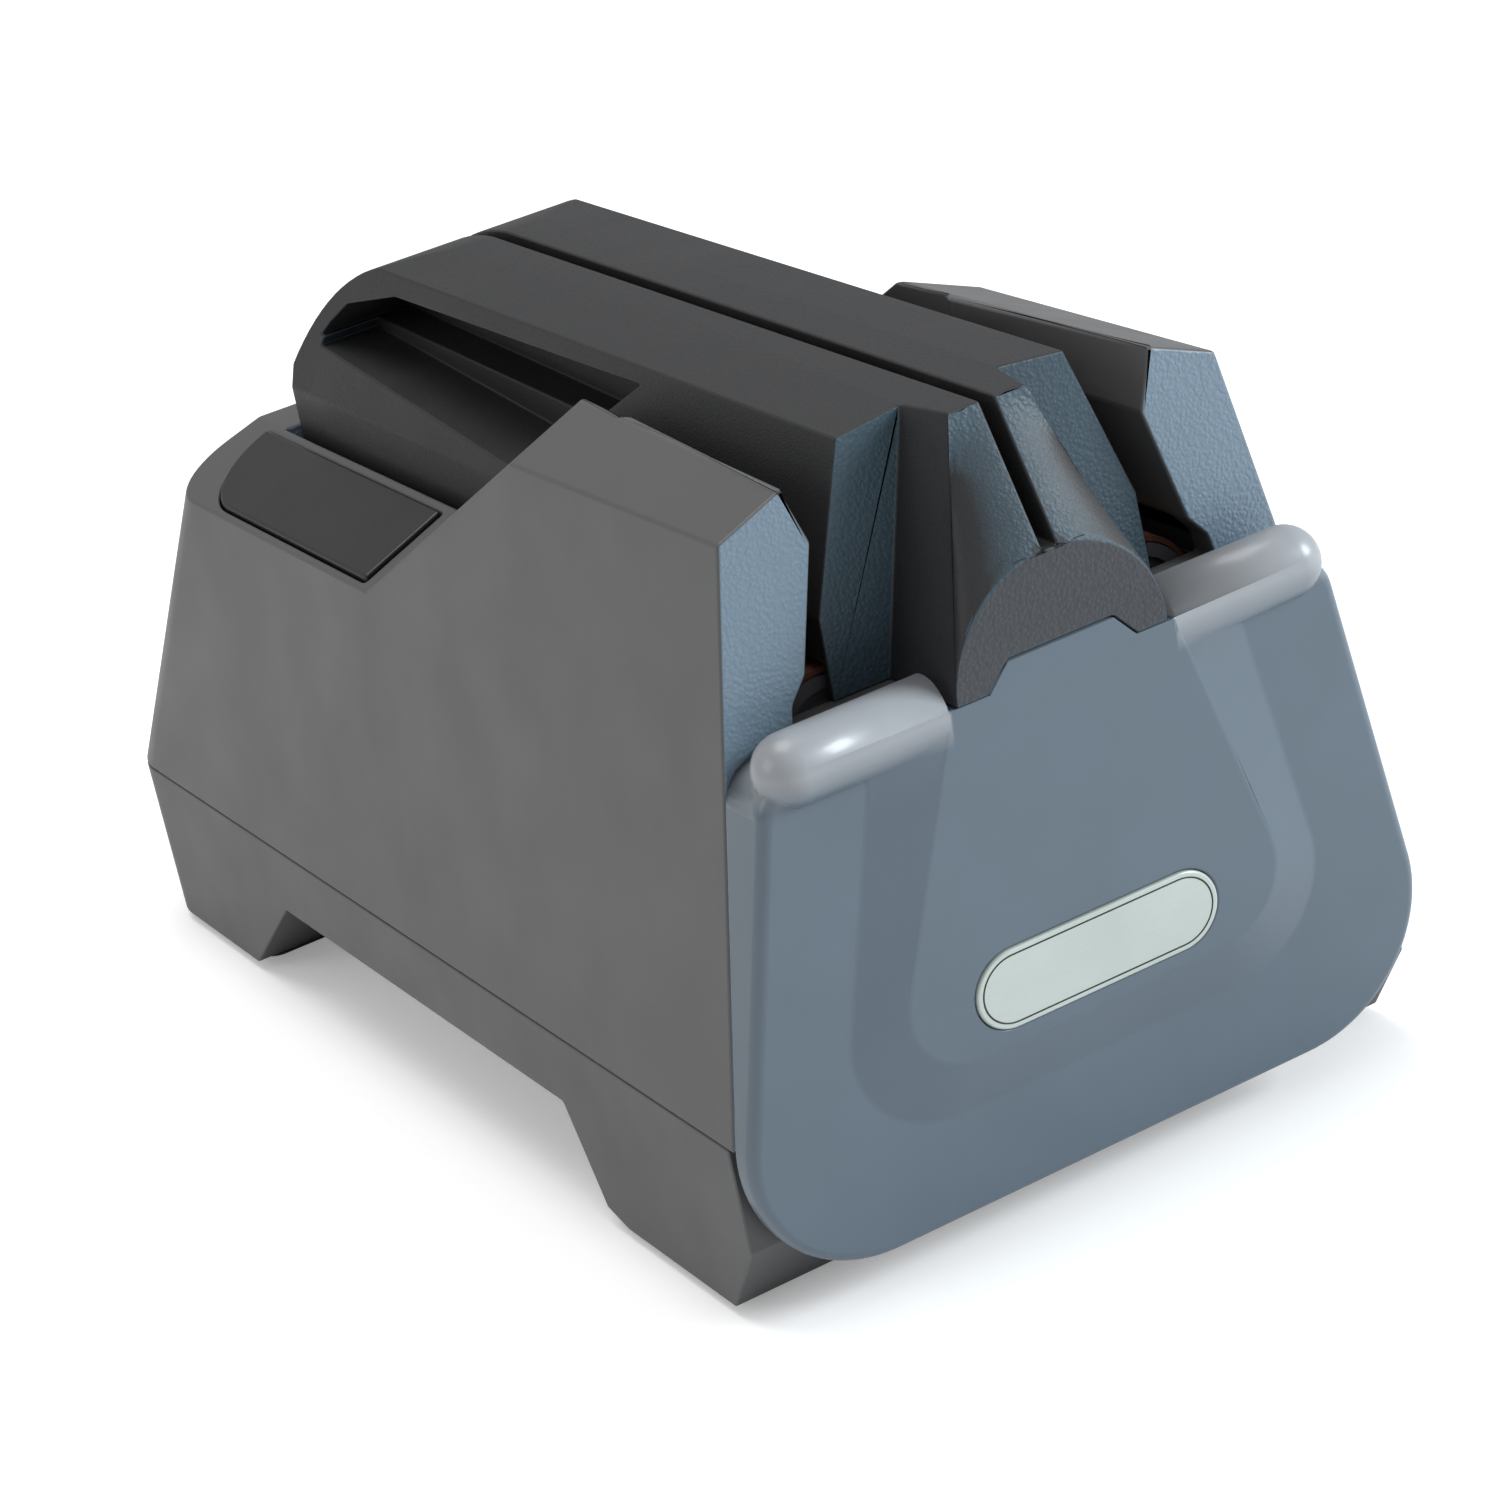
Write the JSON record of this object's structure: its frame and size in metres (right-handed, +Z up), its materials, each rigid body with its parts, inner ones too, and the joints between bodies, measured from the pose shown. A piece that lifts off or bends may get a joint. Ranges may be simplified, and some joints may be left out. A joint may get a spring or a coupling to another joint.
{
  "type": "electric knife sharpener",
  "caption": "Belt-type electric knife sharpener with a lift-off central knife guide, two towers with slanted blade slots, a pull-off front cover and a push button.",
  "frame": {"origin": "middle of the footprint, on the surface that the feet stand on", "axes": "+X to the right seen from the front cover, +Y from the front cover to the rear, +Z up"},
  "size_m": [0.1512, 0.3121, 0.1616],
  "materials": {
    "housing_grey": "fine textured moulded plastic, warm dark grey",
    "cover_blue_grey": "satin moulded plastic, blue grey",
    "guide_black": "fine textured moulded plastic, near black",
    "badge_silver": "satin silver, bare",
    "button_black": "polished black plastic",
    "rubber_black": "matt black rubber",
    "abrasive": "red brown abrasive grit on cloth",
    "steel": "turned and plated steel",
    "aluminium": "pressed aluminium plate",
    "ceramic": "fine white ceramic",
    "wheel_plastic": "glass filled plastic",
    "board_green": "circuit board with parts"
  },
  "bodies": {
    "housing": {"upper_housing": "housing_grey", "base_tray": "housing_grey", "abrasive_belt": "abrasive", "idler_pin_left": "steel", "idler_pin_right": "steel", "mechanism_plate": "aluminium", "motor_can": "steel", "motor_screws": "steel", "base_screws": "steel", "button_spring": "steel", "power_switch": "wheel_plastic", "switch_bracket": "aluminium", "circuit_board": "board_green", "cord_gland": "rubber_black", "foot_front_left": "rubber_black", "foot_front_right": "rubber_black", "foot_rear_left": "rubber_black", "foot_rear_right": "rubber_black"},
    "cover": {"front_cover": "cover_blue_grey", "badge_plate": "badge_silver"},
    "guide": {"knife_guide": "guide_black", "hone_left": "ceramic", "hone_right": "ceramic"},
    "button": {"power_button": "button_black"},
    "drive": {"drive_wheel": "wheel_plastic", "motor_shaft": "steel", "cooling_fan": "wheel_plastic"},
    "left_idler": {"idler_left": "wheel_plastic"},
    "right_idler": {"idler_right": "wheel_plastic"}
  },
  "joints": [
    {"name": "cover_pull", "type": "slide", "parent": "housing", "child": "cover", "axis": [0, -1, 0], "range_m": [0, 0.04]},
    {"name": "guide_lift", "type": "slide", "parent": "housing", "child": "guide", "axis": [0, 0, 1], "range_m": [0, 0.06]},
    {"name": "button_press", "type": "slide", "parent": "housing", "child": "button", "axis": [0, 0, -1], "range_m": [0, 0.0025], "stiffness_N_per_m": 600, "springref_m": -0.002, "deforming": ["button_spring"]},
    {"name": "drive_spin", "type": "hinge", "parent": "housing", "child": "drive", "pos_m": [0, -0.12013, 0.05175], "axis": [0, 1, 0], "continuous": true},
    {"name": "left_idler_spin", "type": "hinge", "parent": "housing", "child": "left_idler", "pos_m": [-0.035, -0.12013, 0.107], "axis": [0, 1, 0], "continuous": true},
    {"name": "right_idler_spin", "type": "hinge", "parent": "housing", "child": "right_idler", "pos_m": [0.035, -0.12013, 0.107], "axis": [0, 1, 0], "continuous": true}
  ],
  "couplings": [
    {"joint": "left_idler_spin", "follows": "drive_spin", "ratio": 2.4815},
    {"joint": "right_idler_spin", "follows": "drive_spin", "ratio": 2.4815}
  ]
}
